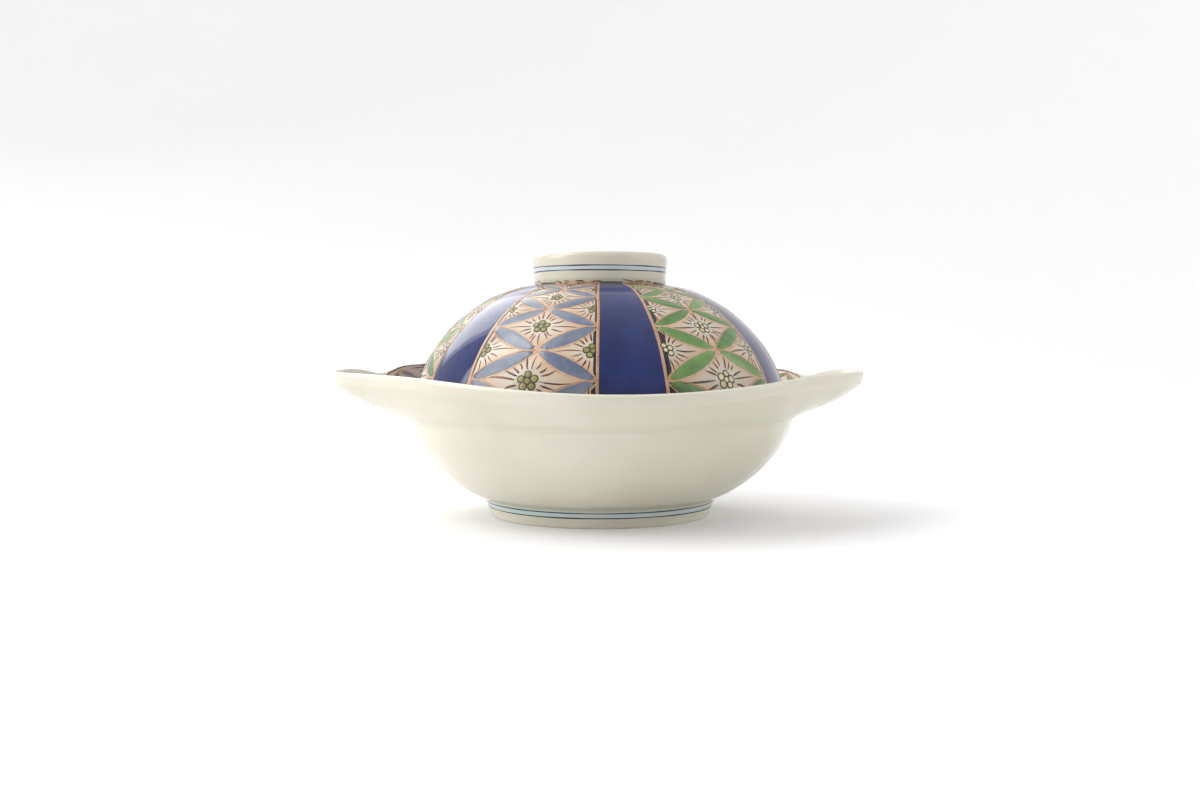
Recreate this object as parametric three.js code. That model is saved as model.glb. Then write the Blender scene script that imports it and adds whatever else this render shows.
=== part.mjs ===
// A lidded porcelain rice bowl: a footed bowl whose rim flares out into two pointed ears, and a
// domed lid with a hollow ring for a knob. Millimetres, +Z up, the ears along X, the front at -Y.
// The origin is the centre of the circle on which the foot stands.

import * as THREE from "three";

const FOOT = {
  standR: 38.1, // outer edge of the ring where it meets the table
  topR: 40.4, // where the ring runs into the bowl's wall
  height: 6.5,
  innerR: 34.9, // mouth of the hollow under the bowl
  innerTopR: 34.2,
  recess: 5.2, // depth of that hollow at its centre
  flatInnerR: 35.5, // the ground, flat strip that touches the table
  flatOuterR: 37.6,
};

const BODY = {
  topR: 66.5, // where the wall turns outwards into the flange
  topZ: 33.6,
  lowerPull: [52.4, 10.7], // control points of the outer wall's curve, as radius and height
  upperPull: [63.6, 21.7],
  floorZ: 9.4, // inside bottom, at the centre
  floorR: 22, // radius at which the inside bottom starts to curve up
  innerLowerPull: [47.5, 10.0],
  innerUpperPull: [60.0, 22.5],
  innerTopR: 61.0,
};

const SEAT = {
  innerR: 61.4, // the level ledge that carries the lid
  outerR: 63.8,
  z: 35.5,
};

const RIM = {
  outerR: 73.0, // away from the ears
  topZ: 44.9, // at the front, where the rim is lowest
  bandHeight: 4.2, // height of the lip's near-upright outer band
  bandStep: 1.0, // how far the band's lower edge is set in
  roundR: 1.15, // rounding of the lip's top
  innerR: 70.75,
  innerZ: 44.1,
};

const EAR = {
  reach: 19.7, // how far the tip stands out beyond the round rim
  fadeAngle: 15, // degrees over which the pull falls to 1/e
  fadePower: 1.5,
  tipAngle: 3.5, // degrees of rounding at the tip
  bulge: 1.35, // above 1, the flange leaves the wall flatter than it ends
  lift: 1.6, // above 1, the flange rises more steeply towards its edge
  crowding: 0.5, // how much closer the facets stand at the ears
  nipAngle: 15.4, // degrees from the tip to a slight waist on either side of it
  nipWidth: 4.3,
  nipDepth: 0.5,
  nipDrop: 2.4, // the waists at the back also dip
};

// The rim's edge is not level. It rises towards the ears, stands higher at the back than at the
// front and a little higher at the left, and the ears themselves bend down again.
const SWAY = {
  saddle: 6.5,
  back: 1.9, // half the difference between back and front
  left: 1.45, // half the difference between left and right, before the ears' droop
  twist: 0.5, // raises the front right and back left, and lowers the other two quarters
  droop: 3.35, // at the ears' tips
  droopLeft: 1.3, // the left ear's droop beyond that, and the right ear's lack of it
  droopAngle: 40,
};

const LID = {
  edgeR: 64.0, // radius just above the edge
  edgeZ: 2.2, // heights of the lid are above its own resting edge
  flatInnerR: 61.0,
  flatOuterR: 62.5,
  wall: 3.0,
  domeTopR: 22.6, // where the dome meets the knob
  domeTopZ: 43.4,
  lowerPull: [64.2, 19.6],
  upperPull: [43.9, 42.1],
  crownRise: 0.9, // how much higher the underside is at the axis than below the knob
};

const KNOB = {
  baseR: 22.5,
  topR: 23.3,
  topZ: 54.2,
  flatInnerR: 20.4, // flat strip on top, on which the upturned lid stands
  flatOuterR: 21.9,
  recessTopR: 19.7,
  recessFloorR: 17.6,
  recessFloorZ: 44.4,
  recessRise: 0.6, // the recess floor is slightly domed
};

const SEAT_GAP = 0.3;
const LIFTED = SEAT.z + SEAT_GAP;

const BOWL_SEGMENTS = 88;
const LID_SEGMENTS = 64;
const WALL_STEPS = 8;
const FLANGE_STEPS = 6;
const ROUND_STEPS = 4;

const glaze = new THREE.MeshStandardMaterial({ color: 0xd9d6c6, roughness: 0.12, metalness: 0 });
const lidGlaze = new THREE.MeshStandardMaterial({ color: 0x2f3b80, roughness: 0.1, metalness: 0 });

function point(r, z) {
  return new THREE.Vector2(r, z);
}

function bezier(start, pullA, pullB, end) {
  return new THREE.CubicBezierCurve(start, point(...pullA), point(...pullB), end);
}

// Points between two ends, without the ends themselves.
function between(a, b, steps) {
  const points = [];
  for (let i = 1; i < steps; i += 1) {
    points.push(a.clone().lerp(b, i / steps));
  }
  return points;
}

// An arc about (r, z), from one angle to another in degrees, with 0 pointing outwards.
function arc(r, z, radius, from, to, steps) {
  const points = [];
  for (let i = 0; i <= steps; i += 1) {
    const turn = THREE.MathUtils.degToRad(from + ((to - from) * i) / steps);
    points.push(point(r + radius * Math.cos(turn), z + radius * Math.sin(turn)));
  }
  return points;
}

// The bowl's outline, from the middle of the underside round to the middle of the inside.
// Each point has a share from 0 to 1: how much of the ears' pull it takes.
function bowlOutline() {
  const outline = [];
  const add = (points, share) => {
    points.forEach((p, i) => {
      outline.push({ point: p, share: typeof share === "function" ? share(i, points.length) : share });
    });
  };
  const rising = (i, count) => (i + 1) / (count + 1);
  const falling = (i, count) => 1 - rising(i, count);

  const foot = [
    point(0, FOOT.recess),
    point(18, FOOT.recess - 0.1),
    point(FOOT.innerTopR - 1.6, FOOT.recess - 0.4),
    point(FOOT.innerTopR, FOOT.recess - 1.4),
    point(FOOT.innerR, 0.5),
    point(FOOT.flatInnerR, 0),
    point(FOOT.flatOuterR, 0),
    point(FOOT.standR, 0.5),
    point(FOOT.topR - 0.5, FOOT.height - 0.6),
  ];
  add(foot, 0);

  const footTop = point(FOOT.topR, FOOT.height);
  const wallTop = point(BODY.topR, BODY.topZ);
  const wall = bezier(footTop, BODY.lowerPull, BODY.upperPull, wallTop);
  add(wall.getPoints(WALL_STEPS), 0);

  const bandFoot = point(RIM.outerR - RIM.bandStep, RIM.topZ - RIM.bandHeight);
  add(between(wallTop, bandFoot, FLANGE_STEPS), rising);
  add([bandFoot], 1);
  const roundCentre = point(RIM.outerR - RIM.roundR, RIM.topZ - RIM.roundR);
  add(arc(roundCentre.x, roundCentre.y, RIM.roundR, 0, 135, ROUND_STEPS), 1);

  const flangeTop = point(RIM.innerR, RIM.innerZ);
  const flangeFoot = point(SEAT.outerR + 0.3, SEAT.z + 0.2);
  add([flangeTop], 1);
  add(between(flangeTop, flangeFoot, FLANGE_STEPS), falling);
  add([flangeFoot, point(SEAT.outerR, SEAT.z), point(SEAT.innerR, SEAT.z)], 0);

  const innerTop = point(BODY.innerTopR, SEAT.z - 0.5);
  const innerFoot = point(BODY.floorR, BODY.floorZ + 0.1);
  const inside = bezier(innerTop, BODY.innerUpperPull, BODY.innerLowerPull, innerFoot);
  add(inside.getPoints(WALL_STEPS), 0);
  add([point(0, BODY.floorZ)], 0);
  return outline;
}

// How far the rim's edge is pulled outwards at an angle from +X.
function reachAt(turn) {
  const fromEar = degreesFromEar(turn);
  const rounded = Math.hypot(fromEar, EAR.tipAngle) - EAR.tipAngle;
  const pull = Math.exp(-((rounded / EAR.fadeAngle) ** EAR.fadePower));
  return EAR.reach * pull - EAR.nipDepth * nipAt(fromEar);
}

// How far the rim's edge is raised at an angle from +X.
function riseAt(turn) {
  const x = Math.cos(turn);
  const y = Math.sin(turn);
  const fromEar = degreesFromEar(turn);
  const sway = SWAY.saddle * x ** 2 + SWAY.back * (1 + y) - SWAY.left * x - 2 * SWAY.twist * x * y;
  const droop = (SWAY.droop - SWAY.droopLeft * x) * Math.exp(-((fromEar / SWAY.droopAngle) ** 2));
  const dip = y > 0 ? EAR.nipDrop * nipAt(fromEar) : 0;
  return sway - droop - dip;
}

function degreesFromEar(turn) {
  return THREE.MathUtils.radToDeg(Math.asin(Math.min(1, Math.abs(Math.sin(turn)))));
}

function nipAt(fromEar) {
  return Math.exp(-(((fromEar - EAR.nipAngle) / EAR.nipWidth) ** 2));
}

// Moves each vertex of the turned bowl: rows of facets crowd towards the ears, and the flange is
// pulled out and up there. A lathe stores its vertices one whole outline after another.
function pullEars(geometry, shares) {
  const position = geometry.getAttribute("position");
  for (let i = 0; i < position.count; i += 1) {
    const share = shares[i % shares.length];
    const r = Math.hypot(position.getX(i), position.getY(i));
    if (r === 0) {
      continue;
    }
    const plain = Math.atan2(position.getY(i), position.getX(i));
    const turn = plain - (EAR.crowding * Math.sin(2 * plain)) / 2;
    const out = r + reachAt(turn) * (1 - (1 - share) ** EAR.bulge);
    const up = position.getZ(i) + riseAt(turn) * share ** EAR.lift;
    position.setXYZ(i, out * Math.cos(turn), out * Math.sin(turn), up);
  }
  return geometry;
}

function turned(points, segments) {
  const geometry = new THREE.LatheGeometry(points, segments);
  geometry.rotateX(Math.PI / 2);
  return geometry;
}

function makeBowl() {
  const outline = bowlOutline();
  const round = turned(outline.map((entry) => entry.point), BOWL_SEGMENTS);
  const geometry = pullEars(round, outline.map((entry) => entry.share));
  geometry.computeVertexNormals();
  const mesh = new THREE.Mesh(geometry, glaze);
  mesh.name = "bowl";
  return mesh;
}

// A curve's points moved sideways by a distance, to the right of its direction.
function offset(curve, distance, steps) {
  const points = [];
  for (let i = 0; i <= steps; i += 1) {
    const along = curve.getTangent(i / steps);
    points.push(curve.getPoint(i / steps).add(point(along.y, -along.x).multiplyScalar(distance)));
  }
  return points;
}

// The lid's outline, from the middle of the knob's recess round to the middle of the underside.
function lidOutline() {
  const domeFoot = point(LID.edgeR, LID.edgeZ);
  const domeTop = point(LID.domeTopR, LID.domeTopZ);
  const dome = bezier(domeFoot, LID.lowerPull, LID.upperPull, domeTop);
  const edge = [
    point(LID.flatInnerR - 0.6, LID.edgeZ - 0.9),
    point(LID.flatInnerR, 0),
    point(LID.flatOuterR, 0),
    point(LID.edgeR - 0.45, 0.9),
  ];
  const knob = [
    point(KNOB.baseR, LID.domeTopZ + 0.5),
    point(KNOB.topR, KNOB.topZ - 1.3),
    point(KNOB.topR - 0.4, KNOB.topZ - 0.4),
    point(KNOB.flatOuterR, KNOB.topZ),
    point(KNOB.flatInnerR, KNOB.topZ),
    point(KNOB.recessTopR, KNOB.topZ - 0.7),
    point(KNOB.recessFloorR + 1.4, KNOB.recessFloorZ + 1.6),
    point(KNOB.recessFloorR, KNOB.recessFloorZ),
    point(0, KNOB.recessFloorZ + KNOB.recessRise),
  ];
  const underside = offset(dome, -LID.wall, WALL_STEPS + 2).reverse();
  const crown = point(0, underside[0].y + LID.crownRise);
  return [crown, ...underside, ...edge, ...dome.getPoints(WALL_STEPS + 2), ...knob];
}

function makeLid() {
  const mesh = new THREE.Mesh(turned(lidOutline(), LID_SEGMENTS), lidGlaze);
  mesh.name = "lid";
  mesh.position.z = LIFTED;
  return mesh;
}

const riceBowl = new THREE.Group();
riceBowl.name = "rice_bowl";
riceBowl.add(makeBowl(), makeLid());

export default riceBowl;
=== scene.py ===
"""The looks of a lidded porcelain rice bowl: glaze, cobalt bands and painted enamel.

Lengths are in mm until the meshes are made, and azimuths are in radians, from the front (-Y) towards +X.
"""

import math
import random

import bpy
import numpy as np
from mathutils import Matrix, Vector


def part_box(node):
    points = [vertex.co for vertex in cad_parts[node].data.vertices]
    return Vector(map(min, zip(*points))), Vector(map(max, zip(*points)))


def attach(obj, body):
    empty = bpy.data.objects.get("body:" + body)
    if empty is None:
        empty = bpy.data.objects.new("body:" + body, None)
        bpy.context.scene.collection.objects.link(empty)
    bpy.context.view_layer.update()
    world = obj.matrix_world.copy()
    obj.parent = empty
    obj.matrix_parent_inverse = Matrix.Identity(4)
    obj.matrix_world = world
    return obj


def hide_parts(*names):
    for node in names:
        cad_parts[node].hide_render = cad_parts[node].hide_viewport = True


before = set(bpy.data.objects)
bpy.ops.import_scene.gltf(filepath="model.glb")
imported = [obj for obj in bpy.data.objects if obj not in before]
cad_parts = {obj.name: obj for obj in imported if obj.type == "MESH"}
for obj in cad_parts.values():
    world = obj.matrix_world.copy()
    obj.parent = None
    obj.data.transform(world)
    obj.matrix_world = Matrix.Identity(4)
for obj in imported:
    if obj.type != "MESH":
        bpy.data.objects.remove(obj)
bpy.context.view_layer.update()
MM = 0.001

# --------------------------------------------------------------------------------------------------
# Driving dimensions
# --------------------------------------------------------------------------------------------------

bowl_low, bowl_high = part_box("bowl")
lid_low, lid_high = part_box("lid")
GROUND = bowl_low.z / MM
LID_Z = lid_low.z / MM  # the lid's resting edge
KNOB_TOP = lid_high.z / MM
RIM_TOP = 44.9  # the rim's height where it isn't raised or lowered, as at the front
RIM_RADIUS = 73.0  # away from the ears
SEAT_Z = 35.5

# The ears: how far a tip stands out, how many degrees it takes to fade, how steeply, and how blunt it is.
EAR_REACH = bowl_high.x / MM - RIM_RADIUS
EAR_FADE, EAR_POWER, EAR_TIP = 15.0, 1.5, 3.5
EAR_BULGE = 1.35  # above 1, the flange swings out more near its foot than at its edge
EAR_LIFT = 1.6  # above 1, the flange rises more at its edge than near its foot
EAR_CROWDING = 0.5  # how much closer the turns of a mesh stand at the ears
# A slight nip beside each ear: degrees from the tip, width, depth, and drop at the back.
NIP_ANGLE, NIP_WIDTH, NIP_DEPTH, NIP_DROP = 15.4, 4.3, 0.5, 2.4
# The rim's rise at the ears, at the back and on the left, and its twist between them.
SADDLE, BACK, LEFT, TWIST = 6.5, 1.9, 1.45, 0.5
# The sag of the ears, which is greater on the left, and the degrees over which it fades.
DROOP, DROOP_LEFT, DROOP_ANGLE = 3.35, 1.3, 40.0

FOOT_HOLLOW = [(0, 5.2), (18, 5.1), (32.6, 4.8), (34.2, 3.8), (34.9, 0.5)]
FOOT_STRIP = [(35.5, GROUND), (37.6, GROUND)]
FOOT_SIDE = [(38.1, 0.5), (39.9, 5.9)]
FOOT_LINES = (3.6, 5.3)  # heights of the two painted lines
FOOT_TOP = (40.4, 6.5)
BODY_TOP = (66.4, 32.7)
SHOULDER = [(66.85, 33.4), (66.9, 34.1)]  # a low bead where the wall turns out into the flange
BODY_CURVE = [FOOT_TOP, (52.4, 10.7), (63.6, 21.7), BODY_TOP]
SEAT = [(63.8, SEAT_Z), (61.4, SEAT_Z)]
SEAT_STRIP, SEAT_STRIP_HALF = 62.5, 1.2  # the seat's bare strip: radius of its middle, and half its width
INSIDE_CURVE = [(61.0, SEAT_Z - 0.5), (60.0, 22.5), (47.5, 10.0), (22.0, 9.5)]
INSIDE_FLOOR = (0, 9.4)
BAND_FOOT = [(71.7, RIM_TOP - 4.7), (72.4, RIM_TOP - 4.15)]  # the step under the rim's outer band
RIM_ROUND = (RIM_RADIUS - 1.15, RIM_TOP - 1.15, 1.15)
FLANGE_TOP = (70.75, 44.1)
FLANGE_FOOT = (64.1, SEAT_Z + 0.2)

DOME_FOOT = (64.0, LID_Z + 2.2)
DOME_TOP = (22.6, LID_Z + 43.4)
DOME_CURVE = [DOME_FOOT, (64.2, LID_Z + 19.6), (43.9, LID_Z + 42.1), DOME_TOP]
LID_WALL = 3.0
LID_EDGE = [(60.4, LID_Z + 1.3), (61.0, LID_Z), (62.5, LID_Z), (63.55, LID_Z + 0.9)]
LID_EDGE_RADIUS = 63.0  # the lid's outline first passes this just above its resting edge
KNOB_FOOT = (22.5, LID_Z + 43.9)
KNOB_RADIUS = 23.3
KNOB_LINES = (83.7, 85.3)  # heights of the two painted lines
KNOB_RECESS = [(19.0, LID_Z + 46.0), (17.6, LID_Z + 44.4), (0, LID_Z + 45.0)]

GLAZE_COAT = {"bowl": 0.32, "lid": 0.4}  # the glaze rounds corners over about this length
BARE_REACH = 0.12  # how far from a resting face the glaze has been wiped off
TURNS = {"bowl": 384, "lid": 480}  # faces round a mesh

PANELS = 6
PANEL_HALF = math.radians(20.1)
BAND_HALF = math.radians(30) - PANEL_HALF
FIRST_PANEL = math.radians(-24.75)  # azimuth of the middle of the first pale-blue panel
LEVEL_STEP = 0.174  # rise of one row of the pattern, as a share of the radius there
FIRST_LEVEL = 0.168
# Sizes in the lid's pattern, as shares of the radius there.
PETAL_WIDTH, PETAL_LINE, NODE_DOT, FLOWER_SIZE = 0.09, 0.0092, 0.017, 0.056
RIM_DIAMONDS = 18
RIM_PETAL = 2.2  # greatest width of a petal inside the rim

# --------------------------------------------------------------------------------------------------
# Outlines: rows of (radius, height, share), where share is how much of the ears' pull a point takes
# --------------------------------------------------------------------------------------------------


def bezier(points, count):
    t = np.linspace(0, 1, count)[:, None]
    p = np.array(points, float)
    return (1 - t) ** 3 * p[0] + 3 * (1 - t) ** 2 * t * p[1] + 3 * (1 - t) * t**2 * p[2] + t**3 * p[3]


def flat(points, share=0.0):
    """Points as outline rows, all with one share."""
    p = np.array(points, float).reshape(-1, 2)
    return np.column_stack([p, np.full(len(p), share)])


def arc(r, z, radius, start, end, count=12):
    turn = np.radians(np.linspace(start, end, count))
    return np.column_stack([r + radius * np.cos(turn), z + radius * np.sin(turn)])


def bowl_outline():
    rows = [
        flat(FOOT_HOLLOW + FOOT_STRIP + FOOT_SIDE),
        flat(bezier(BODY_CURVE, 80)),
        flat(SHOULDER),
        flat(BAND_FOOT, 1.0),
        flat(arc(*RIM_ROUND, 0, 135), 1.0),
        flat([FLANGE_TOP], 1.0),
        flat([FLANGE_FOOT] + SEAT),
        flat(bezier(INSIDE_CURVE, 80)),
        flat([INSIDE_FLOOR]),
    ]
    return np.vstack(rows)


def lid_outline():
    dome = bezier(DOME_CURVE, 90)
    along = np.gradient(dome, axis=0)
    along /= np.linalg.norm(along, axis=1)[:, None]
    underside = (dome + LID_WALL * np.column_stack([-along[:, 1], along[:, 0]]))[::-1]
    top = KNOB_TOP
    knob = [KNOB_FOOT, (KNOB_RADIUS, top - 1.8), (22.95, top - 0.75), (22.3, top - 0.15)]
    knob += [(21.5, top), (20.4, top), (19.7, top - 0.7)]
    crown = [(0, underside[0, 1] + 0.9)]
    return np.vstack([flat(part) for part in (crown, underside, LID_EDGE, dome, knob, KNOB_RECESS)])


def lengths_along(points):
    """The length of a curve up to each of its points."""
    return np.concatenate([[0], np.cumsum(np.linalg.norm(np.diff(points, axis=0), axis=1))])


def softened(rows, blur):
    """The outline with its corners rounded as a glaze coat rounds them, and denser points where it bends.

    With it comes its bend at each point, per mm: above 0 over edges, below 0 in hollows.
    """
    length = lengths_along(rows[:, :2])
    step = 0.1
    s = np.arange(0, length[-1], step)
    fine = np.column_stack([np.interp(s, length, rows[:, i]) for i in range(3)])
    reach = int(4 * blur / step)
    kernel = np.exp(-0.5 * (np.arange(-reach, reach + 1) * step / blur) ** 2)
    kernel /= kernel.sum()
    ends = [2 * fine[0] - fine[reach:0:-1], 2 * fine[-1] - fine[-2 : -reach - 2 : -1]]
    ends[0][:, 1:] = fine[reach:0:-1, 1:]
    ends[1][:, 1:] = fine[-2 : -reach - 2 : -1, 1:]
    padded = np.vstack([ends[0], fine, ends[1]])
    smooth = np.column_stack([np.convolve(padded[:, i], kernel, "valid") for i in range(3)])
    smooth[[0, -1], 0] = 0
    along = np.gradient(smooth[:, :2], axis=0)
    heading = np.unwrap(np.arctan2(along[:, 1], along[:, 0]))
    bend = np.gradient(heading) / step
    turn_per_point, widest_gap, finest_gap = 0.24, 1.9, 0.26
    density = np.clip(np.abs(bend) / turn_per_point, 1 / widest_gap, 1 / finest_gap)
    density = np.convolve(density, np.ones(9) / 9, "same")
    total = np.concatenate([[0], np.cumsum(density[1:] * step)])
    picks = np.interp(np.linspace(0, total[-1], int(total[-1]) + 1), total, np.arange(len(total)))
    index = np.arange(len(smooth))
    rows = np.column_stack([np.interp(picks, index, smooth[:, i]) for i in range(3)])
    glaze_flow = 2.2  # the bend is averaged over this length
    wide = int(glaze_flow / step)
    broad = np.convolve(bend, np.ones(wide) / wide, "same")
    return rows, np.interp(picks, index, broad)


def first_outside(rows):
    """The first row of the lid's outline that is on the dome's outside."""
    return np.argmax(rows[:, 0] > LID_EDGE_RADIUS)


def all_round(count):
    """Evenly spaced azimuths."""
    return np.arange(count) * 2 * math.pi / count


def crowded(azimuths):
    """The azimuths moved closer together at the ears."""
    return azimuths + EAR_CROWDING * np.sin(2 * azimuths) / 2


def degrees_from_ear(azimuth):
    return np.degrees(np.arcsin(np.clip(np.abs(np.cos(azimuth)), 0, 1)))


def nip_at(azimuth):
    return np.exp(-(((degrees_from_ear(azimuth) - NIP_ANGLE) / NIP_WIDTH) ** 2))


def reach_at(azimuth):
    """How far the rim's edge is pulled outwards."""
    rounded = np.hypot(degrees_from_ear(azimuth), EAR_TIP) - EAR_TIP
    return EAR_REACH * np.exp(-((rounded / EAR_FADE) ** EAR_POWER)) - NIP_DEPTH * nip_at(azimuth)


def rise_at(azimuth):
    """How far the rim's edge is raised."""
    x, y = np.sin(azimuth), -np.cos(azimuth)
    sway = SADDLE * x**2 + BACK * (1 + y) - LEFT * x - 2 * TWIST * x * y
    droop = (DROOP - DROOP_LEFT * x) * np.exp(-((degrees_from_ear(azimuth) / DROOP_ANGLE) ** 2))
    return sway - droop - np.where(y > 0, NIP_DROP * nip_at(azimuth), 0)


def pulled(r, z, share, azimuth):
    """Where a point of the turned bowl ends up once the ears are pulled out: x, y, z in mm."""
    share = np.clip(share, 0, 1)
    out = r + reach_at(azimuth) * (1 - (1 - share) ** EAR_BULGE)
    up = z + rise_at(azimuth) * share**EAR_LIFT
    return np.stack([out * np.sin(azimuth), -out * np.cos(azimuth), up], axis=-1)


# --------------------------------------------------------------------------------------------------
# Meshes
# --------------------------------------------------------------------------------------------------


def make_object(name, verts, faces, attributes, materials, face_materials=None):
    mesh = bpy.data.meshes.new(name)
    mesh.from_pydata((np.asarray(verts) * MM).tolist(), [], faces)
    for key, values in attributes.items():
        layer = mesh.attributes.new(key, "FLOAT", "POINT")
        layer.data.foreach_set("value", np.asarray(values, np.float32))
    for material in materials:
        mesh.materials.append(material)
    if face_materials is not None:
        mesh.polygons.foreach_set("material_index", np.asarray(face_materials, np.int32))
    mesh.polygons.foreach_set("use_smooth", [True] * len(mesh.polygons))
    mesh.update()
    obj = bpy.data.objects.new(name, mesh)
    bpy.context.scene.collection.objects.link(obj)
    return obj


def turned_mesh(rows, azimuths):
    """Vertices and faces for an outline that starts and ends on the axis.

    With them come the outline row of each vertex and face, and the turn of each face.
    """
    inner = rows[1:-1]
    count, turns = len(inner), len(azimuths)
    grid = pulled(inner[:, 0, None], inner[:, 1, None], inner[:, 2, None], azimuths[None, :])
    verts = np.vstack([grid.reshape(-1, 3), [[0, 0, rows[0, 1]], [0, 0, rows[-1, 1]]]])
    first, last = count * turns, count * turns + 1
    faces = []
    for k in range(turns):
        n = (k + 1) % turns
        faces.append((first, n, k))
        for j in range(count - 1):
            a = j * turns
            faces.append((a + k, a + n, a + turns + n, a + turns + k))
        faces.append((last, (count - 1) * turns + k, (count - 1) * turns + n))
    row_of_vert = np.concatenate([np.repeat(np.arange(1, count + 1), turns), [0, count + 1]])
    row_of_face = np.tile(np.arange(count + 1), turns)
    turn_of_face = np.repeat(np.arange(turns), count + 1)
    return verts, faces, row_of_vert, row_of_face, turn_of_face


# --------------------------------------------------------------------------------------------------
# Painted surfaces: a skin maps (azimuth, level) to a point, and paint is laid on it
# --------------------------------------------------------------------------------------------------


class Skin:
    """A surface of points (a, v). Subclasses give place(a, v) in mm."""

    def normal(self, a, v):
        across, along = self.slopes(a, v)
        n = np.cross(across, along)
        return n / np.linalg.norm(n, axis=-1)[..., None]

    def slopes(self, a, v):
        e = 1e-4
        across = (self.place(a + e, v) - self.place(a - e, v)) / (2 * e)
        along = (self.place(a, v + e) - self.place(a, v - e)) / (2 * e)
        return across, along

    def raised(self, a, v, height):
        return self.place(a, v) + self.normal(a, v) * np.asarray(height)[..., None]

    def scale(self, a, v):
        """Millimetres per unit of a and of v."""
        across, along = self.slopes(a, v)
        return np.linalg.norm(across, axis=-1), np.linalg.norm(along, axis=-1)


class Turned(Skin):
    """A surface turned from self.curve, rows of radius and height, with self.v as the level of each row."""

    def place(self, a, v):
        r = np.interp(v, self.v, self.curve[:, 0])
        z = np.interp(v, self.v, self.curve[:, 1])
        return np.stack([r * np.sin(a), -r * np.cos(a), z], axis=-1)


class Dome(Turned):
    """The lid's outside. v is the conformal height, so that shapes keep their proportions up the dome.

    It is 0 where the dome starts, and the surface runs straight on for a little below that.
    """

    def __init__(self):
        dome = bezier(DOME_CURVE, 600)
        below = dome[0] + 20 * (dome[0] - dome[1])
        self.curve = np.vstack([below, dome])
        steps = np.linalg.norm(np.diff(self.curve, axis=0), axis=1)
        middle = (self.curve[1:, 0] + self.curve[:-1, 0]) / 2
        self.v = np.concatenate([[0], np.cumsum(steps / middle)]) - steps[0] / middle[0]
        self.top = self.v[-1]


class Flange(Skin):
    """The inside of the bowl's rim, from v = 0 at the seat to v = 1 at the border line.

    Its normal points up and inwards. The border line keeps just below the lip, except at the ears, where it
    runs straight on and leaves them plain.
    """

    LIMIT = 78.5  # the border line keeps within this radius

    def __init__(self):
        """self.border is the border line's share of the outline at each of self.turns, at most 1."""
        self.turns = np.linspace(0, 2 * math.pi, 1441)
        shares = np.linspace(0, 1, 401)[:, None]
        r = FLANGE_FOOT[0] + (FLANGE_TOP[0] - FLANGE_FOOT[0]) * shares
        r = r + reach_at(self.turns) * (1 - (1 - shares) ** EAR_BULGE)
        self.border = np.array([np.interp(self.LIMIT, r[:, i], shares[:, 0]) for i in range(len(self.turns))])

    def share(self, a, v):
        return v * np.interp(np.asarray(a) % (2 * math.pi), self.turns, self.border)

    def place(self, a, v):
        a, v = np.broadcast_arrays(np.asarray(a, float), np.asarray(v, float))
        share = self.share(a, v)
        r = FLANGE_FOOT[0] + (FLANGE_TOP[0] - FLANGE_FOOT[0]) * share
        z = FLANGE_FOOT[1] + (FLANGE_TOP[1] - FLANGE_FOOT[1]) * share
        return pulled(r, z, share, a)

    def normal(self, a, v):
        return -super().normal(a, v)


class Crown(Turned):
    """The lid's outside where the dome runs into the knob.

    v is the length up from the corner between them in mm, below 0 on the dome.
    """

    def __init__(self):
        rows = softened(lid_outline(), GLAZE_COAT["lid"])[0]
        first = first_outside(rows)
        start = first + np.argmax(rows[first:, 0] < 32)
        stop = start + np.argmax(rows[start:, 1] > LID_Z + 48)
        corner = np.argmax(rows[start:stop, 1] > LID_Z + 43.6)
        self.curve = rows[start:stop, :2]
        length = lengths_along(self.curve)
        self.v = length - length[corner]


class Wall(Skin):
    """The side of the foot or the knob, straight between two rows of radius and height.

    v is the height in mm.
    """

    def __init__(self, low, high):
        self.low, self.high = low, high

    def place(self, a, v):
        share = (v - self.low[1]) / (self.high[1] - self.low[1])
        r = self.low[0] + (self.high[0] - self.low[0]) * share
        return np.stack([r * np.sin(a), -r * np.cos(a), v + 0 * a], axis=-1)


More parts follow.
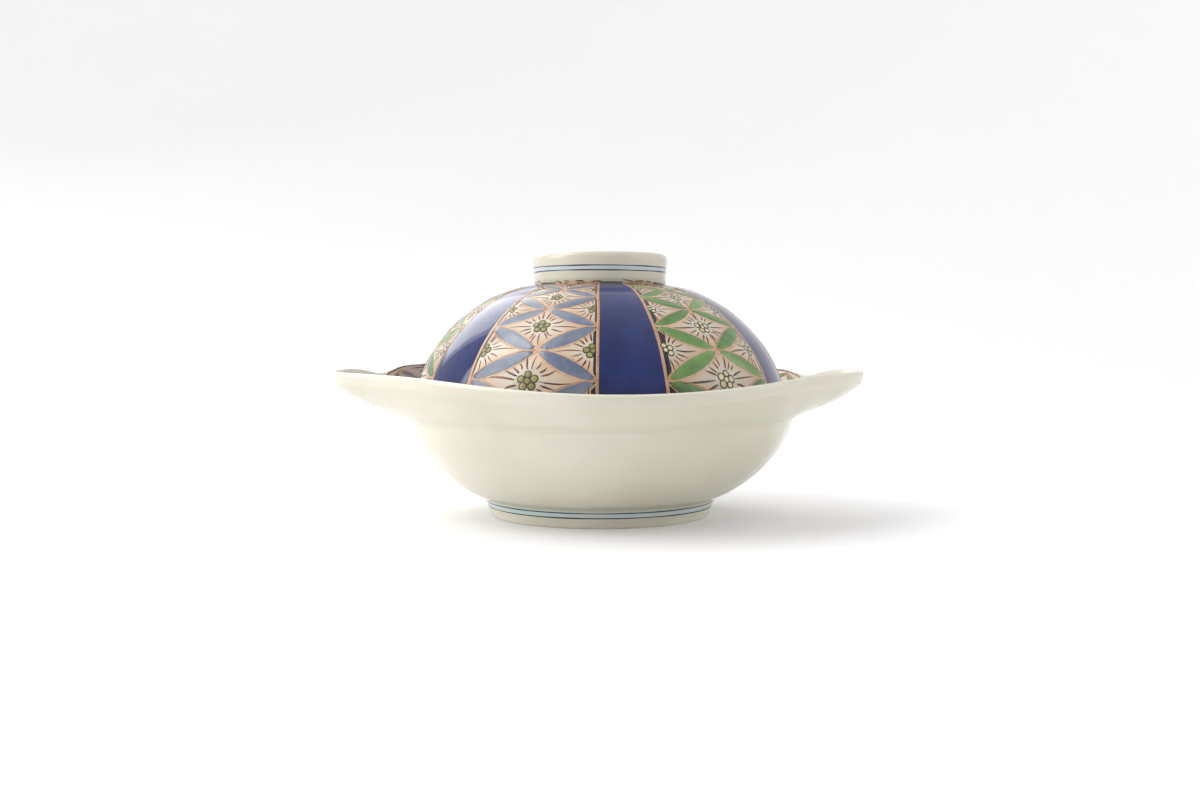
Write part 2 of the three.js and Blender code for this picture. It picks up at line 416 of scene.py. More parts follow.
class Paint:
    """Gathers raised strokes, petals and dots into one mesh. Each is a closed solid with a tone."""

    def __init__(self, skin):
        self.skin = skin
        self.verts, self.faces, self.tones = [], [], []
        self.count = 0

    def add(self, verts, faces, tone):
        self.verts.append(verts)
        self.faces.extend([tuple(i + self.count for i in f) for f in faces])
        self.tones.append(np.broadcast_to(tone, (len(verts),)))
        self.count += len(verts)

    def ribbon(self, path, half_widths, height, tone=0.5, closed=False,
               across=(-1, -0.72, 0, 0.72, 1), sink=0.05):
        """A band along a path of (a, v), with half widths in mm. Its edges lie sunk under the surface."""
        path = np.asarray(path, float)
        half = np.broadcast_to(half_widths, (len(path),)).astype(float)
        scale = np.stack(self.skin.scale(path[:, 0], path[:, 1]), axis=-1)
        if closed:
            step = np.roll(path, -1, axis=0) - np.roll(path, 1, axis=0)
            step[:, 0] = (step[:, 0] + math.pi) % (2 * math.pi) - math.pi
        else:
            step = np.gradient(path, axis=0)
        step = step * scale
        step /= np.linalg.norm(step, axis=1)[:, None] + 1e-12
        side = np.column_stack([-step[:, 1], step[:, 0]]) / scale
        across = np.array(across)
        spots = path[:, None, :] + side[:, None, :] * (half[:, None] * across[None, :])[..., None]
        profile = height * np.sqrt(np.clip(1 - across**2 * 0.75, 0, 1))
        profile[[0, -1]] = -sink
        lift = np.broadcast_to(profile, spots.shape[:2])
        verts = self.skin.raised(spots[..., 0], spots[..., 1], lift).reshape(-1, 3)
        n, m = len(path), len(across)
        faces = []
        for i in range(n if closed else n - 1):
            a, b = i * m, (i + 1) % n * m
            for j in range(m - 1):
                faces.append((a + j, b + j, b + j + 1, a + j + 1))
            faces.append((a + m - 1, b + m - 1, b, a))
        if not closed:
            faces.append(tuple(range(m)))
            faces.append(tuple(range(n * m - 1, (n - 1) * m - 1, -1)))
        if self.flips():
            faces = [f[::-1] for f in faces]
        self.add(verts, faces, np.broadcast_to(tone, lift.shape).ravel() if np.ndim(tone) else tone)

    def flips(self):
        """True where a ribbon's natural winding faces into the surface."""
        a, v = np.array([0.1]), np.array([0.5])
        across, along = self.skin.slopes(a, v)
        outwards = np.sum(np.cross(across, along) * self.skin.normal(a, v))
        return outwards > 0

    def dot(self, a, v, radius, height, tone=0.5, points=14, sink=0.05):
        """A domed drop of enamel."""
        scale = np.array(self.skin.scale(np.array(a), np.array(v)))
        turn = all_round(points)
        spots, lifts = [], []
        for share, rise in ((1.0, -sink / height), (0.93, 0.45), (0.6, 0.88)):
            spots.append(np.column_stack([a + radius * share * np.cos(turn) / scale[0],
                                          v + radius * share * np.sin(turn) / scale[1]]))
            lifts.append(np.full(points, rise * height))
        spots.append(np.array([[a, v]]))
        lifts.append(np.array([height]))
        spots, lifts = np.vstack(spots), np.concatenate(lifts)
        verts = self.skin.raised(spots[:, 0], spots[:, 1], lifts)
        faces = [tuple(range(points))[::-1]]
        for ring in range(2):
            for i in range(points):
                n = (i + 1) % points
                low, high = ring * points, (ring + 1) * points
                faces.append((low + i, low + n, high + n, high + i))
        for i in range(points):
            faces.append((2 * points + i, 2 * points + (i + 1) % points, 3 * points))
        if not self.flips():
            faces = [f[::-1] for f in faces]
        self.add(verts, faces, tone)

    def ring(self, a, v, radius, half_width, height, tone=0.5, points=18):
        """A thin raised circle."""
        scale = np.array(self.skin.scale(np.array(a), np.array(v)))
        turn = all_round(points)
        path = np.column_stack([a + radius * np.cos(turn) / scale[0], v + radius * np.sin(turn) / scale[1]])
        self.ribbon(path, half_width, height, tone, closed=True, across=(-1, -0.5, 0.5, 1))

    def finish(self, name, body, slot, material):
        tones = np.concatenate(self.tones)
        obj = make_object(name, np.vstack(self.verts), self.faces, {"tone": tones}, [material])
        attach(obj, body)


# --------------------------------------------------------------------------------------------------
# Materials
# --------------------------------------------------------------------------------------------------


class Nodes:
    """A small helper round one material's node tree."""

    def __init__(self, name):
        self.material = bpy.data.materials.new(name)
        self.material.use_nodes = True
        self.tree = self.material.node_tree
        self.shader = self.tree.nodes["Principled BSDF"]
        self.coords = self.new("ShaderNodeTexCoord").outputs["Object"]

    def new(self, kind, **settings):
        node = self.tree.nodes.new(kind)
        for key, value in settings.items():
            setattr(node, key, value)
        return node

    def link(self, source, target):
        self.tree.links.new(source, target)

    def feed(self, socket, value):
        """Gives a socket another node's output, a colour or a number."""
        if isinstance(value, bpy.types.NodeSocket):
            self.link(value, socket)
        elif isinstance(value, tuple):
            socket.default_value = (*value, 1)
        else:
            socket.default_value = value

    def noise(self, scale, detail=2.0, roughness=0.5, stretch=None):
        node = self.new("ShaderNodeTexNoise")
        node.inputs["Scale"].default_value = scale
        node.inputs["Detail"].default_value = detail
        node.inputs["Roughness"].default_value = roughness
        source = self.coords
        if stretch:
            mapping = self.new("ShaderNodeMapping")
            mapping.inputs["Scale"].default_value = stretch
            self.link(self.coords, mapping.inputs["Vector"])
            source = mapping.outputs["Vector"]
        self.link(source, node.inputs["Vector"])
        return node.outputs["Fac"]

    def ramp(self, source, stops):
        node = self.new("ShaderNodeValToRGB")
        elements = node.color_ramp.elements
        while len(elements) < len(stops):
            elements.new(0.5)
        for element, (position, color) in zip(elements, stops):
            element.position = position
            element.color = (*color, 1)
        self.link(source, node.inputs["Fac"])
        return node.outputs["Color"]

    def value_range(self, source, low, high, to_low, to_high):
        node = self.new("ShaderNodeMapRange")
        node.inputs["From Min"].default_value = low
        node.inputs["From Max"].default_value = high
        node.inputs["To Min"].default_value = to_low
        node.inputs["To Max"].default_value = to_high
        self.link(source, node.inputs["Value"])
        return node.outputs["Result"]

    def mix(self, factor, a, b):
        node = self.new("ShaderNodeMix", data_type="RGBA")
        for key, value in (("Factor", factor), ("A", a), ("B", b)):
            self.feed(node.inputs[key], value)
        return node.outputs["Result"]

    def math(self, operation, a, b):
        node = self.new("ShaderNodeMath", operation=operation)
        for socket, value in zip(node.inputs, (a, b)):
            self.feed(socket, value)
        return node.outputs["Value"]

    def attribute(self, name):
        return self.new("ShaderNodeAttribute", attribute_name=name).outputs["Fac"]

    def height(self):
        split = self.new("ShaderNodeSeparateXYZ")
        self.link(self.coords, split.inputs["Vector"])
        return split.outputs["Z"]

    def radius(self):
        """Distance from the upright axis."""
        flattened = self.new("ShaderNodeVectorMath", operation="MULTIPLY")
        flattened.inputs[1].default_value = (1, 1, 0)
        length = self.new("ShaderNodeVectorMath", operation="LENGTH")
        self.link(self.coords, flattened.inputs[0])
        self.link(flattened.outputs["Vector"], length.inputs[0])
        return length.outputs["Value"]

    def bump(self, source, strength, distance):
        node = self.new("ShaderNodeBump")
        node.inputs["Strength"].default_value = strength
        node.inputs["Distance"].default_value = distance
        self.link(source, node.inputs["Height"])
        self.link(node.outputs["Normal"], self.shader.inputs["Normal"])

    def done(self, color, roughness, metallic=0.0):
        for key, value in (("Base Color", color), ("Roughness", roughness), ("Metallic", metallic)):
            self.feed(self.shader.inputs[key], value)
        return self.material


# In shaders lengths are in metres, and the scale of a noise is its number of features per metre.
WASH_BLUR = 0.0002
# Each wash is (low, high, reach, colour): a band between two heights, outside the radius reach.
FOOT_WASH = (0.0036, 0.0057, 0.037, (0.50, 0.62, 0.66))
KNOB_WASH = (0.0836, 0.0853, 0.0215, (0.47, 0.57, 0.66))
SPECK = (0.35, 0.27, 0.18)


def glaze(name, thick, thin, cool, blush, wash):
    """Pale porcelain glaze, greener where it pools. Over edges it's whiter: thin glaze there, and a painted
    highlight.
    """
    n = Nodes(name)
    drift = n.noise(14, 3)
    color = n.mix(n.value_range(drift, 0.35, 0.65, 0, 1), thin, thick)
    color = n.mix(n.value_range(n.attribute("bend"), -0.5, 0.0, 0.85, 0), color, cool)
    # Towards the thin glaze's colour over edges: partly real thinning of the glaze, partly a painted
    # highlight along the rim's lip and other edges.
    color = n.mix(n.value_range(n.attribute("bend"), 0.05, 0.8, 0, 0.6), color, thin)
    color = n.mix(n.attribute("blush"), color, blush)
    low, high, reach, tint = wash
    z = n.math("ADD", n.height(), n.value_range(n.noise(40, 1), 0.3, 0.7, -0.0001, 0.0001))
    inside = n.math("MULTIPLY", n.value_range(z, low - WASH_BLUR, low + WASH_BLUR, 0, 1),
                    n.value_range(z, high - WASH_BLUR, high + WASH_BLUR, 1, 0))
    patchy = n.value_range(n.noise(70, 2, stretch=(1, 1, 4)), 0.3, 0.7, 0.35, 1.0)
    inside = n.math("MULTIPLY", inside, patchy)
    outwards = n.value_range(n.radius(), reach - WASH_BLUR, reach + WASH_BLUR, 0, 1)
    inside = n.math("MULTIPLY", inside, outwards)
    color = n.mix(inside, color, tint)
    specks = n.value_range(n.noise(900, 1), 0.77, 0.8, 0, 0.35)
    color = n.mix(specks, color, SPECK)
    rings = n.math("MULTIPLY", n.noise(60, 2, stretch=(0.12, 0.12, 5.0)), 0.35)
    n.bump(n.math("ADD", n.noise(55, 2), rings), 0.4, 0.0006)
    return n.done(color, n.value_range(n.noise(120, 2), 0.3, 0.7, 0.05, 0.1))


def cobalt():
    n = Nodes("cobalt")
    brushed = n.noise(60, 4, 0.6, stretch=(1.0, 1.0, 0.35))
    dark, middle, light = (0.007, 0.012, 0.075), (0.011, 0.019, 0.10), (0.018, 0.032, 0.15)
    color = n.ramp(brushed, [(0.3, dark), (0.5, middle), (0.72, light)])
    color = n.mix(n.value_range(n.noise(90, 3), 0.5, 0.75, 0, 0.4), color, (0.022, 0.045, 0.17))
    n.bump(n.noise(55, 2), 0.35, 0.0006)
    return n.done(color, n.value_range(n.noise(120, 2), 0.3, 0.7, 0.05, 0.11))


def painted(name, dark, middle, light, rough=(0.1, 0.22), scale=260, tone_share=0.5, metallic=0.0):
    """Brushed-on colour: a tone for each stroke, with the drift of a wash across it."""
    n = Nodes(name)
    wash = n.math("MULTIPLY", n.noise(scale, 3, 0.6), 1 - tone_share)
    tone = n.math("ADD", wash, n.math("MULTIPLY", n.attribute("tone"), tone_share))
    color = n.ramp(tone, [(0.28, dark), (0.5, middle), (0.74, light)])
    n.bump(n.noise(scale * 2.5, 2), 0.3, 0.0001)
    return n.done(color, n.value_range(n.noise(scale, 2), 0.3, 0.7, *rough), metallic)


def bisque():
    n = Nodes("bisque")
    color = n.ramp(n.noise(500, 4), [(0.35, (0.60, 0.52, 0.42)), (0.65, (0.75, 0.69, 0.60))])
    n.bump(n.noise(2500, 3), 0.5, 0.0001)
    return n.done(color, 0.75)


BOWL_GLAZE = glaze("bowl_glaze", (0.60, 0.575, 0.455), (0.72, 0.69, 0.585), (0.45, 0.47, 0.33),
                   blush=(0.64, 0.50, 0.40), wash=FOOT_WASH)
LID_GLAZE = glaze("lid_glaze", (0.55, 0.505, 0.40), (0.61, 0.58, 0.48), (0.42, 0.43, 0.32),
                  blush=(0.56, 0.32, 0.18), wash=KNOB_WASH)
COBALT = cobalt()
BISQUE = bisque()
BLUE = painted("pale_blue_paint", (0.12, 0.145, 0.215), (0.185, 0.21, 0.275), (0.31, 0.315, 0.33))
GREEN = painted("green_enamel", (0.065, 0.15, 0.035), (0.115, 0.245, 0.06), (0.25, 0.34, 0.13))
GOLD = painted("gold_line", (0.30, 0.16, 0.085), (0.46, 0.265, 0.15), (0.62, 0.41, 0.26),
               rough=(0.25, 0.4), metallic=0.12)
RED = painted("red_enamel", (0.05, 0.015, 0.012), (0.12, 0.028, 0.026), (0.25, 0.055, 0.05))
YELLOW = painted("flower_enamel", (0.28, 0.24, 0.08), (0.45, 0.39, 0.16), (0.68, 0.62, 0.42),
                 tone_share=0.7)
OLIVE = painted("flower_outline", (0.03, 0.023, 0.008), (0.06, 0.046, 0.014), (0.11, 0.08, 0.028))
NAVY = painted("border_shadow", (0.018, 0.012, 0.024), (0.045, 0.026, 0.04), (0.13, 0.06, 0.05))
LINE_BLUE = painted("ring_line", (0.016, 0.028, 0.05), (0.028, 0.048, 0.075), (0.06, 0.09, 0.125),
                    scale=120, tone_share=0.1)

# --------------------------------------------------------------------------------------------------
# The porcelain
# --------------------------------------------------------------------------------------------------


def make_bowl():
    rows, bend = softened(bowl_outline(), GLAZE_COAT["bowl"])
    verts, faces, row_of_vert, row_of_face, _ = turned_mesh(rows, crowded(all_round(TURNS["bowl"])))
    foot_strip = rows[:, 1] < GROUND + BARE_REACH
    on_seat = np.abs(rows[:, 1] - SEAT_Z) < BARE_REACH
    on_seat &= np.abs(rows[:, 0] - SEAT_STRIP) < SEAT_STRIP_HALF
    bare = (foot_strip | on_seat)[row_of_face]
    lip_rows = 2  # rows past the highest one that stay plain
    past_lip = np.arange(len(rows)) > np.argmax(rows[:, 1]) + lip_rows
    blush = flange_blush(verts, rows[row_of_vert, 2], past_lip[row_of_vert])
    obj = make_object(
        "bowl_body", verts, faces, {"bend": bend[row_of_vert], "blush": blush},
        [BOWL_GLAZE, BISQUE], bare.astype(int))
    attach(obj, "bowl")
    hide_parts("bowl")


def flange_blush(verts, share, past_lip):
    """How warm the ground is: 1 on the decorated ring inside the rim, and 0 elsewhere."""
    a = np.arctan2(verts[:, 0], -verts[:, 1])
    within = np.clip((FLANGE.share(a, BORDER_LINE) - share) / 0.03, 0, 1)
    return np.where(past_lip & (share > 0.01), within, 0)


def nearest_panel(azimuth):
    """Signed distance of an azimuth from the middle of its panel."""
    pitch = 2 * math.pi / PANELS
    return (azimuth - FIRST_PANEL + pitch / 2) % pitch - pitch / 2


def make_lid():
    rows, bend = softened(lid_outline(), GLAZE_COAT["lid"])
    turns = TURNS["lid"]
    azimuths = FIRST_PANEL + all_round(turns)
    verts, faces, row_of_vert, row_of_face, turn_of_face = turned_mesh(rows, azimuths)
    outside = np.zeros(len(rows), bool)
    first = first_outside(rows)
    last = first + np.argmax(rows[first:, 0] < DOME_TOP[0] + 0.25)
    outside[first:last] = True
    middle = azimuths[turn_of_face] + math.pi / turns
    in_band = np.abs(nearest_panel(middle)) > PANEL_HALF
    glazed, banded, bare = range(3)
    kind = np.where(outside[row_of_face] & in_band, banded, glazed)
    resting = (rows[:, 1] < LID_Z + BARE_REACH)[row_of_face]
    kind[resting] = bare
    blush = lid_blush(verts, outside[row_of_vert])
    obj = make_object(
        "lid_body", verts, faces, {"bend": bend[row_of_vert], "blush": blush},
        [LID_GLAZE, COBALT, BISQUE], kind)
    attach(obj, "lid")
    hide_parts("lid")


def lid_blush(verts, outside):
    """How much pink-orange stain the ground has: most where the diamonds narrow to their tips."""
    a = np.arctan2(verts[:, 0], -verts[:, 1])
    v = np.interp(verts[:, 2], DOME.curve[:, 1], DOME.v)
    x = nearest_panel(a) / PANEL_HALF
    y = (v - FIRST_LEVEL) / LEVEL_STEP
    even_x, even_y = x, y - 2 * np.round(y / 2)
    odd_x, odd_y = 1 - np.abs(x), (y - 1) - 2 * np.round((y - 1) / 2)
    from_flower = np.minimum(np.abs(even_x) + np.abs(even_y), np.abs(odd_x) + np.abs(odd_y))
    return np.where(outside, np.clip((from_flower - 0.25) * 1.25, 0, 0.9), 0)


# --------------------------------------------------------------------------------------------------
# The painted pattern
# --------------------------------------------------------------------------------------------------

DOME = Dome()
FLANGE = Flange()
CROWN = Crown()
BORDER_LINE = 1.04  # level of the line along the top of the ring inside the rim
rng = random.Random(7)


def wobble(count, amount, waves=3):
    """A slow, hand-made drift along a line."""
    t = np.linspace(0, 1, count)
    drift = np.zeros(count)
    for k in range(1, waves + 1):
        drift += rng.uniform(-1, 1) / k * np.sin(2 * math.pi * k * t + rng.uniform(0, 6.28))
    return drift * amount


def lens(fill, outline, start, end, width, line, tone):
    """A petal between two nodes of the pattern, with a line along each side. Width is its greatest, in mm."""
    start, end = np.array(start), np.array(end)
    n = 17
    t = np.linspace(0, 1, n)
    path = start + (end - start) * t[:, None]
    bow = 4 * t * (1 - t)
    half = width / 2 * bow**0.85
    across = np.array((-1, -0.8, -0.3, 0.3, 0.8, 1))
    shade = tone + 0.22 * across[None, :] * rng.choice((-1, 1)) + 0.35 * (1 - bow[:, None]) ** 2
    fill.ribbon(path[1:-1], half[1:-1] + 0.05, 0.04, shade[1:-1], across=across)
    scale = np.stack(fill.skin.scale(path[:, 0], path[:, 1]), axis=-1)
    step = (end - start) * scale
    step /= np.linalg.norm(step, axis=1)[:, None]
    side = np.column_stack([-step[:, 1], step[:, 0]]) / scale
    for sign in (-1, 1):
        edge = path + side * (sign * (half + line * 0.3) + wobble(n, 0.07))[:, None]
        widths = line / 2 * (1 + 0.25 * wobble(n, 1)) * (1.15 - 0.3 * bow)
        outline.ribbon(edge, np.clip(widths, 0.1, None), 0.05, rng.uniform(0.3, 0.9))


def flower(paints, a, v, size, room, inside, tones, pale):
    """Five drops round a sixth, with strokes radiating from them.

    room(angle) is the distance to the diamond's edge, and inside(a, v) is true on the painted ground.
    """
    drop_reach, drop_size, outline_width, stroke_width = 0.64, 0.33, 0.095, 0.118  # shares of size
    skin = paints["yellow"].skin
    scale = skin.scale(np.array(a), np.array(v))
    turn = rng.uniform(-0.25, 0.25) + math.pi / 2
    drops = [(0.0, 0.0, 0.30)]
    for i in range(5):
        angle = turn + i * 2 * math.pi / 5 + rng.uniform(-0.1, 0.1)
        reach = size * (drop_reach + rng.uniform(-0.05, 0.05))
        x, y = reach * math.cos(angle) * 1.06, reach * math.sin(angle) * 0.92
        drops.append((x, y, drop_size + rng.uniform(-0.04, 0.04)))
    for x, y, share in drops:
        spot = (a + x / scale[0], v + y / scale[1])
        if inside(*spot):
            paints["yellow"].dot(*spot, size * share, 0.1, rng.uniform(0.0, 0.35) + 0.65 * pale)
            paints["olive"].ring(*spot, size * share, outline_width * size, 0.12, rng.random())
    strokes = 18
    for i in range(strokes):
        angle = 2 * math.pi * i / strokes + rng.uniform(-0.07, 0.07)
        begin = size * rng.uniform(1.1, 1.35)
        upright = abs(math.sin(angle)) > 0.9
        longest = size * (3.3 if i % (strokes // 2) == 0 else 1.9 if upright else 1.5)
        end = min(begin + longest * rng.uniform(0.75, 1.1), room(angle) - 0.05 * size)
        if end - begin < 0.25 * size:
            continue
        t = np.linspace(0, 1, 6)
        curve = rng.uniform(-0.16, 0.16) * size
        reach = begin + (end - begin) * t
        x = reach * math.cos(angle) - np.sin(math.pi * t) * curve * math.sin(angle)
        y = reach * math.sin(angle) + np.sin(math.pi * t) * curve * math.cos(angle)
        path = np.column_stack([a + x / scale[0], v + y / scale[1]])
        if not (inside(*path[0]) and inside(*path[-1])):
            continue
        taper = np.array([0.45, 0.9, 1.0, 0.85, 0.6, 0.15])
        widths = stroke_width * size * taper * rng.uniform(0.75, 1.3)
        paints["red"].ribbon(path, widths, 0.05, rng.uniform(*tones), across=(-1, -0.5, 0.5, 1))


def diamond_room(half_wide, half_high, petal):
    """Distance from the middle of a diamond with bulging petals on its sides, along an angle, in mm."""
    def room(angle):
        c, s = abs(math.cos(angle)), abs(math.sin(angle))
        straight = 1 / (c / half_wide + s / half_high)
        from_corner = min(c * straight / half_wide, s * straight / half_high)
        return straight - petal * 0.62 * math.sin(min(1, 2 * from_corner) * 1.57)
    return room


def panel_sides(index):
    """Azimuths of a panel's middle, left side and right side."""
    middle = FIRST_PANEL + index * 2 * math.pi / PANELS
    return middle, middle - PANEL_HALF, middle + PANEL_HALF


# How far the painter's hand strayed at the nodes that face the front, in radians, by panel and row.
STRAYED = {(0, 1): 0.022, (0, 3): -0.009, (1, 1): 0.01, (1, 3): 0.008}


def lid_panel(index, paints, petals):
    """A panel's rows of petals, with a node or a flower in the middle of each row."""
    middle, left, right = panel_sides(index)
    margin, half_flower = 0.017, 0.026  # in from a side: where paint stops, and an edge flower's middle

    def inside(a, w):
        return left + margin < a < right - margin and 0.01 < w < DOME.top - 0.02

    for k in range(-1, 8):
        v = FIRST_LEVEL + k * LEVEL_STEP
        if v > DOME.top - 0.03:
            continue
        r = DOME.scale(np.array(middle), np.array(v))[0]
        petal, line = PETAL_WIDTH * r, PETAL_LINE * r
        node = middle + STRAYED.get((index, k), rng.uniform(-0.012, 0.012))
        for rise in (-1, 1):
            w = v + rise * LEVEL_STEP
            if k % 2 == 0 or w < 0 or w > DOME.top:
                continue
            for side in (left, right):
                lens(petals, paints["gold"], (node, v), (side, w), petal, line, rng.uniform(0.1, 0.7))
        if k % 2:
            paints["gold"].dot(node, v, NODE_DOT * r, 0.05, rng.uniform(0.3, 0.7))
        room = diamond_room(PANEL_HALF * r, LEVEL_STEP * r, petal)
        flowers = [left + half_flower, right - half_flower] if k % 2 else [middle]
        size = FLOWER_SIZE * r * (0.88 if k % 2 else 1)
        tones = (0.0, 0.5) if index % 2 else (0.3, 1.0)
        for a in flowers:
            spot = (a + rng.uniform(-0.003, 0.003), v + rng.uniform(-0.003, 0.003))
            flower(paints, *spot, size, room, inside, tones, index % 2)


def lid_borders(index, gold, navy):
    """The line on each side of a panel, and the uneven dark sliver of cobalt that shows past it."""
    middle = panel_sides(index)[0]
    # The sliver's greatest width, by side and by whether the panel is a green one.
    widest = {(-1, 1): 2.9, (1, 1): 0.9, (-1, 0): 1.1, (1, 0): 1.5}
    for side in (-1, 1):
        n = 90
        v = np.linspace(0.0, DOME.top - 0.004, n)
        r = DOME.scale(np.full(n, middle), v)[0]
        a = middle + side * PANEL_HALF + wobble(n, 0.15, 4) / r
        half = (0.34 + 0.0034 * r) * (1 + 0.12 * wobble(n, 1, 6))
        gold.ribbon(np.column_stack([a, v]), half, 0.07, rng.uniform(0.5, 0.8))
        below_node = (FIRST_LEVEL - v) / LEVEL_STEP / 2 % 1
        bulk = np.clip(below_node / 0.05, 0, 1) * np.clip((1 - below_node) / 0.15, 0, 1)
        bulk *= 1 - 0.35 * below_node
        fade = np.clip(1.3 - v / DOME.top, 0.35, 1)
        width = widest[side, index % 2] * bulk * fade * (1 + 0.35 * wobble(n, 1, 7)) * (0.35 + 0.65 * r / 60)
        width = np.clip(width, 0.16, None)
        inner = a - side * (0.4 + width / 2) / r
        navy.ribbon(np.column_stack([inner, v]), width / 2, 0.03, rng.uniform(0.1, 0.6))


def crown_marks():
    """The untidy end of the pattern at the knob: gold strokes, dark red dashes, dark edges on the cobalt."""
    gold, navy, red = Paint(CROWN), Paint(CROWN), Paint(CROWN)
    for index in range(PANELS):
        _, left, right = panel_sides(index)
        n = 40
        t = np.linspace(left, right, n)
        for level, half in ((-1.1, 0.34), (-0.35, 0.42), (0.3, 0.36)):
            path = np.column_stack([t, level + 0.3 * wobble(n, 1, 6)])
            gold.ribbon(path, half * (1 + 0.3 * wobble(n, 1, 9)), 0.06, rng.uniform(0.1, 0.6))
        spot = left
        while spot < right:
            length = rng.uniform(0.06, 0.24)
            t = np.linspace(0, 1, 7)
            rise = rng.uniform(-0.6, 0.6) * (t - 0.5) + rng.uniform(-0.1, 0.35) * np.sin(math.pi * t)
            path = np.column_stack([spot + length * t, 0.7 + rng.uniform(-0.35, 0.3) + rise])
            widths = np.array([0.05, 0.18, 0.26, 0.18, 0.26, 0.2, 0.05]) * rng.uniform(0.7, 1.3)
            red.ribbon(path, widths, 0.12, rng.uniform(0.0, 0.5))
            spot += length + rng.uniform(0.0, 0.12)
        n = 16
        t = np.linspace(right, right + 2 * BAND_HALF, n)
        navy.ribbon(np.column_stack([t, np.full(n, 0.25)]), 0.3, 0.08, 0.0)
    gold.finish("crown_gold_strokes", "lid", "gold_line", GOLD)
    navy.finish("crown_edges", "lid", "cobalt_band", NAVY)
    red.finish("crown_dashes", "lid", "red_stroke", RED)


def make_lid_decoration():
    paints = {key: Paint(DOME) for key in ("gold", "yellow", "olive", "red")}
    blue, green, navy = Paint(DOME), Paint(DOME), Paint(DOME)
    for index in range(PANELS):
        lid_panel(index, paints, green if index % 2 else blue)
        lid_borders(index, paints["gold"], navy)
    crown_marks()
    n = 240
    a = np.linspace(0, 2 * math.pi, n, endpoint=False)
    paints["gold"].ribbon(np.column_stack([a, np.full(n, 0.012)]), 0.4, 0.07, 0.45, closed=True)
    blue.finish("lid_blue_petals", "lid", "pale_blue_petal", BLUE)
    green.finish("lid_green_petals", "lid", "green_petal", GREEN)
    paints["gold"].finish("lid_gold_lines", "lid", "gold_line", GOLD)
    paints["yellow"].finish("lid_flower_drops", "lid", "flower_enamel", YELLOW)
    paints["olive"].finish("lid_flower_outlines", "lid", "flower_outline", OLIVE)
    paints["red"].finish("lid_red_strokes", "lid", "red_stroke", RED)
    navy.finish("lid_border_shadows", "lid", "cobalt_band", NAVY)


def make_flange_decoration():
    """One ring of the lid's pattern inside the bowl's rim, with a dark red line along its top."""
    paints = {key: Paint(FLANGE) for key in ("gold", "yellow", "olive", "red")}
    petals = [Paint(FLANGE), Paint(FLANGE)]
    half = math.pi / RIM_DIAMONDS
    tones = (0.0, 0.7)
    for i in range(RIM_DIAMONDS):
        middle = (2 * i + 1) * half
        per_a, per_v = FLANGE.scale(np.array(middle), np.array(0.5))
        width, height = per_a * half, per_v / 2
        for start in (middle - half, middle + half):
            for end in (0.03, 0.97):
                shade = rng.uniform(0.1, 0.7)
                lens(petals[i % 2], paints["gold"], (start, 0.5), (middle, end), RIM_PETAL, 0.5, shade)
        room = diamond_room(width, height, RIM_PETAL)
        flower(paints, middle, 0.5, 1.9, room, lambda a, v: 0.02 < v < 0.98, tones, i % 2)
        for edge in (0.03, 0.97):
            room = diamond_room(width, height * 0.95, RIM_PETAL)
            flower(paints, middle + half, edge, 1.7, room, lambda a, v: 0.0 < v < 1.0, tones, i % 2)
    n = 420
    plain = all_round(n)
    a = crowded(plain)
    width = 0.26 * (1 + 0.2 * np.sin(9 * plain) + 0.15 * np.sin(23 * plain))
    paints["red"].ribbon(np.column_stack([a, np.full(n, BORDER_LINE)]), width, 0.05, 0.35, closed=True)
    paints["gold"].ribbon(np.column_stack([a, np.full(n, 0.02)]), 0.3, 0.05, 0.5, closed=True)
    petals[0].finish("rim_blue_petals", "bowl", "pale_blue_petal", BLUE)
    petals[1].finish("rim_green_petals", "bowl", "green_petal", GREEN)
    paints["gold"].finish("rim_gold_lines", "bowl", "gold_line", GOLD)
    paints["yellow"].finish("rim_flower_drops", "bowl", "flower_enamel", YELLOW)
    paints["olive"].finish("rim_flower_outlines", "bowl", "flower_outline", OLIVE)
    paints["red"].finish("rim_red_strokes", "bowl", "red_stroke", RED)


def make_ring_lines():
    """Two thin lines round the foot and two round the knob."""
    n = 360
    a = np.linspace(0, 2 * math.pi, n, endpoint=False)
    foot = Paint(Wall(*FOOT_SIDE))
    knob = Paint(Wall(KNOB_FOOT, (KNOB_RADIUS, KNOB_TOP - 1.3)))
    for paint, heights in ((foot, FOOT_LINES), (knob, KNOB_LINES)):
        for z in heights:
            drift = 0.05 * np.sin(a + z) + 0.03 * np.sin(3 * a + 2 * z)
            width = 0.26 * (1 + 0.18 * np.sin(5 * a + z) + 0.1 * np.sin(13 * a))
            paint.ribbon(np.column_stack([a, z + drift]), width, 0.06, 0.5, closed=True, sink=0.15)
    foot.finish("foot_lines", "bowl", "ring_line", LINE_BLUE)
    knob.finish("knob_lines", "lid", "ring_line", LINE_BLUE)


# --------------------------------------------------------------------------------------------------
# Stage, light and camera
# --------------------------------------------------------------------------------------------------


def graded(tree, target, low, high, dark, light):
    """Makes a colour go from dark to light as Y goes from low to high."""
    coords = tree.nodes.new("ShaderNodeTexCoord")
    split = tree.nodes.new("ShaderNodeSeparateXYZ")
    ramp = tree.nodes.new("ShaderNodeMapRange")
    ramp.interpolation_type = "SMOOTHSTEP"
    blend = tree.nodes.new("ShaderNodeMix")
    blend.data_type = "RGBA"
    ramp.inputs["From Min"].default_value = low
    ramp.inputs["From Max"].default_value = high
    blend.inputs["A"].default_value = (*dark, 1)
    blend.inputs["B"].default_value = (*light, 1)
    space = "Generated" if target.node.type == "BACKGROUND" else "Object"
    tree.links.new(coords.outputs[space], split.inputs["Vector"])
    tree.links.new(split.outputs["Y"], ramp.inputs["Value"])
    tree.links.new(ramp.outputs["Result"], blend.inputs["Factor"])
    tree.links.new(blend.outputs["Result"], target)


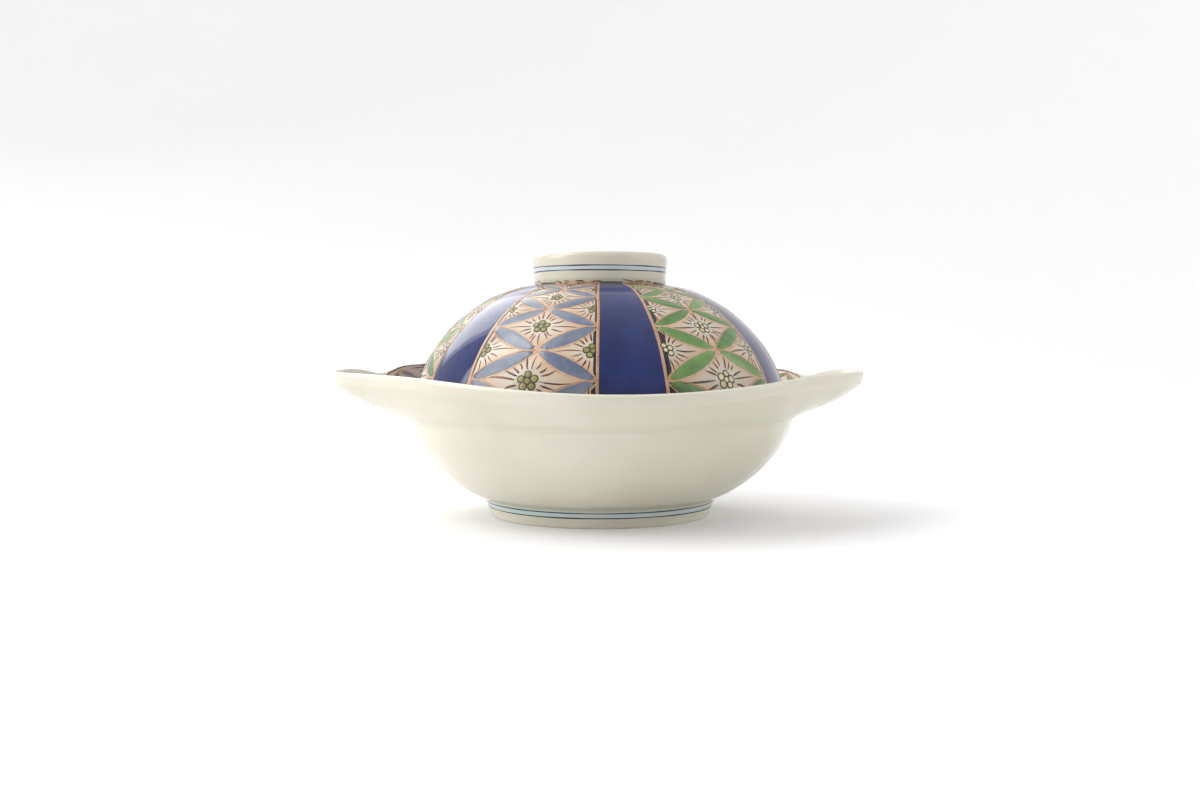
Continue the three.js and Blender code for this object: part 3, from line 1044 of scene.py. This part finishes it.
def make_stage():
    """A round floor that sweeps up into a wall on every side, so that it is plain from any angle."""
    material = bpy.data.materials.new("stage_white")
    material.use_nodes = True
    shader = material.node_tree.nodes["Principled BSDF"]
    shader.inputs["Roughness"].default_value = 0.9
    # A faint glow of the floor and wall: painted light that lifts the shade under the bowl and on its foot.
    shader.inputs["Emission Color"].default_value = (1.0, 0.985, 0.97, 1)
    shader.inputs["Emission Strength"].default_value = 0.1
    dark, light = (0.36, 0.36, 0.37), (0.82, 0.82, 0.83)
    graded(material.node_tree, shader.inputs["Base Color"], -1.9, -0.4, dark, light)
    flat_radius, sweep, wall_height = 1200, 800, 1900
    rows = [(10, 0), (flat_radius, 0)]
    for t in np.linspace(0.1, math.pi / 2, 14):
        rows.append((flat_radius + sweep * math.sin(t), sweep - sweep * math.cos(t)))
    rows.append((flat_radius + sweep, wall_height))
    turns = 96
    verts, faces = [], []
    for r, z in rows:
        for k in range(turns):
            a = 2 * math.pi * k / turns
            verts.append((r * math.cos(a), r * math.sin(a), z))
    for j in range(len(rows) - 1):
        for k in range(turns):
            n = (k + 1) % turns
            faces.append((j * turns + k, j * turns + n, (j + 1) * turns + n, (j + 1) * turns + k))
    faces.append(tuple(range(turns))[::-1])
    make_object("floor", verts, faces, {}, [material])


AIM = (0, 0, 0.05)  # the lights shine at the middle of the bowl
DAYLIGHT = (1.0, 0.99, 0.97)


def add_light(name, place, size, power, color=(1, 1, 1)):
    data = bpy.data.lights.new(name, "AREA")
    data.shape = "RECTANGLE"
    data.size, data.size_y = size
    data.energy = power
    data.color = color
    obj = bpy.data.objects.new(name, data)
    obj.location = place
    obj.rotation_euler = (Vector(AIM) - Vector(place)).to_track_quat("-Z", "Y").to_euler()
    bpy.context.scene.collection.objects.link(obj)


def make_light():
    world = bpy.data.worlds.new("studio")
    world.use_nodes = True
    background = world.node_tree.nodes["Background"]
    background.inputs["Strength"].default_value = 0.98
    graded(world.node_tree, background.inputs["Color"], -0.8, 0.4, (0.45, 0.45, 0.46), (1.0, 1.0, 1.0))
    bpy.context.scene.world = world
    add_light("window", (-1.3, -0.15, 0.9), (1.0, 1.6), 17, DAYLIGHT)
    add_light("far_window", (-0.72, 1.3, 1.0), (0.9, 0.7), 3.2, DAYLIGHT)
    add_light("skylight", (-0.7, 0.2, 1.4), (1.0, 0.8), 4, DAYLIGHT)
    add_light("back_window", (-0.5, 1.1, 0.9), (1.2, 0.8), 3.5)
    add_light("fill", (1.4, -0.3, 0.6), (1.6, 1.0), 3.5)


def make_camera():
    """The camera stands low above the floor, a little towards the left ear, and looks slightly down."""
    azimuth, distance, height, pitch = math.radians(-3.9), 0.436, 0.0617, math.radians(2.9)
    data = bpy.data.cameras.new("camera")
    data.lens = 37.5
    data.clip_start = 0.01
    obj = bpy.data.objects.new("camera", data)
    obj.location = (distance * math.sin(azimuth), -distance * math.cos(azimuth), height)
    obj.rotation_euler = (math.pi / 2 - pitch, 0, azimuth)
    bpy.context.scene.collection.objects.link(obj)
    bpy.context.scene.camera = obj


make_camera()
make_light()
make_stage()
bpy.context.scene.view_settings.view_transform = "Standard"

make_bowl()
make_lid()
make_lid_decoration()
make_flange_decoration()
make_ring_lines()
